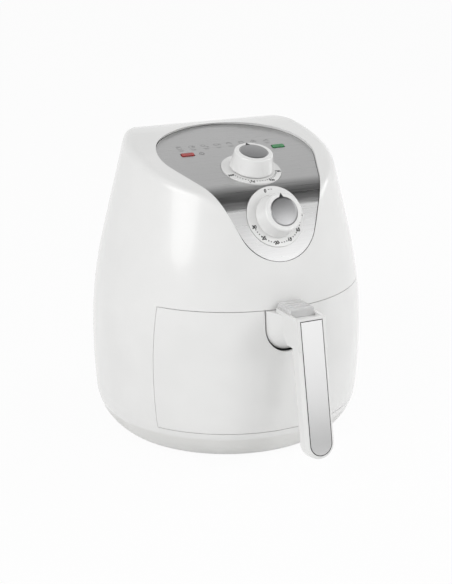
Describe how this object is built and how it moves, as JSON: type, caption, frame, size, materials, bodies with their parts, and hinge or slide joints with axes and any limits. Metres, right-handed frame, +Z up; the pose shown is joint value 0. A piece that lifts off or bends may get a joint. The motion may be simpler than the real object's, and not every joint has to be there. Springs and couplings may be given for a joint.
{
  "type": "hot-air fryer",
  "caption": "Egg-shaped white hot-air fryer with a pull-out basket drawer, leaning grip with a release, two dials and a brushed steel panel.",
  "frame": {"origin": "middle of the whole object's box, on the surface that it stands on", "axes": "+Z up, -Y to the front where the drawer pulls out, +X to the right for someone in front of it"},
  "size_m": [0.272, 0.3387, 0.2994],
  "materials": {
    "white_plastic": "gloss",
    "base_plastic": "satin",
    "rubber": "matte",
    "brushed_steel": "brushed",
    "silver_trim": "satin",
    "clear_plastic": "gloss",
    "red_lens": "gloss",
    "green_lens": "gloss",
    "inner_plastic": "matte",
    "sheet_steel": "satin",
    "bare_steel": "satin",
    "fan_aluminium": "satin",
    "copper_coil": "satin",
    "black_coating": "satin"
  },
  "bodies": {
    "housing": {"upper_housing": "white_plastic", "lower_housing": "white_plastic", "base_tray": "base_plastic", "rubber_feet": "rubber", "base_screws": "bare_steel", "housing_screws": "bare_steel", "outlet_grille": "base_plastic", "cord_gland": "base_plastic", "control_panel": "brushed_steel", "temperature_dial": "white_plastic", "timer_dial": "white_plastic", "power_lamp_lens": "red_lens", "heating_lamp_lens": "green_lens", "lamp_holders": "inner_plastic", "thermostat_body": "inner_plastic", "timer_body": "inner_plastic", "timer_bell": "sheet_steel", "chamber_liner": "sheet_steel", "drawer_runners": "inner_plastic", "heat_shield": "sheet_steel", "insulation_disc": "inner_plastic", "heating_element": "bare_steel", "element_guard": "sheet_steel", "thermal_fuse": "inner_plastic", "drawer_switch": "inner_plastic", "terminal_block": "inner_plastic", "motor_posts": "sheet_steel", "lower_bearing_bracket": "sheet_steel", "motor_stator": "bare_steel", "motor_coil": "copper_coil", "upper_bearing_bracket": "sheet_steel", "motor_bolts": "bare_steel"},
    "fan": {"motor_shaft": "bare_steel", "motor_rotor": "bare_steel", "hot_air_fan": "fan_aluminium", "cooling_fan": "fan_aluminium", "fan_nut": "bare_steel"},
    "temperature_control": {"temperature_knob": "white_plastic", "temperature_knob_disc": "silver_trim", "thermostat_shaft": "bare_steel"},
    "timer_control": {"timer_knob": "white_plastic", "timer_knob_disc": "silver_trim", "timer_shaft": "bare_steel"},
    "drawer": {"drawer_front": "white_plastic", "pan": "black_coating", "pan_screws": "bare_steel", "basket": "black_coating", "basket_mesh": "black_coating", "basket_bracket": "sheet_steel", "basket_rivets": "bare_steel", "latch_keeper": "sheet_steel", "handle": "white_plastic", "handle_back_cover": "white_plastic", "handle_trim": "silver_trim", "handle_screws": "bare_steel", "release_springs": "bare_steel"},
    "guard": {"button_guard": "clear_plastic"},
    "button": {"release_button": "base_plastic"},
    "latch": {"release_latch": "inner_plastic"}
  },
  "joints": [
    {"name": "drawer_slide", "type": "slide", "parent": "housing", "child": "drawer", "axis": [0, -1, 0], "range_m": [0, 0.24]},
    {"name": "fan_spin", "type": "hinge", "parent": "housing", "child": "fan", "pos_m": [0, 0.02372, 0.2], "axis": [0, 0, 1], "continuous": true},
    {"name": "temperature_turn", "type": "hinge", "parent": "housing", "child": "temperature_control", "pos_m": [0, -0.02282, 0.26941], "axis": [0, 0.2924, -0.9563], "range_deg": [0, 270]},
    {"name": "timer_turn", "type": "hinge", "parent": "housing", "child": "timer_control", "pos_m": [0, -0.07245, 0.2349], "axis": [0, 0.891, -0.454], "range_deg": [0, 300]},
    {"name": "guard_slide", "type": "slide", "parent": "drawer", "child": "guard", "axis": [0, -1, 0], "range_m": [0, 0.012]},
    {"name": "button_press", "type": "slide", "parent": "drawer", "child": "button", "axis": [0, 0, -1], "range_m": [0, 0.0035], "stiffness_N_per_m": 800, "springref_m": -0.002, "deforming": ["release_springs"]},
    {"name": "latch_draw", "type": "slide", "parent": "drawer", "child": "latch", "axis": [0, -1, 0], "range_m": [0, 0.0035]}
  ],
  "couplings": [
    {"joint": "latch_draw", "follows": "button_press", "ratio": 1}
  ]
}
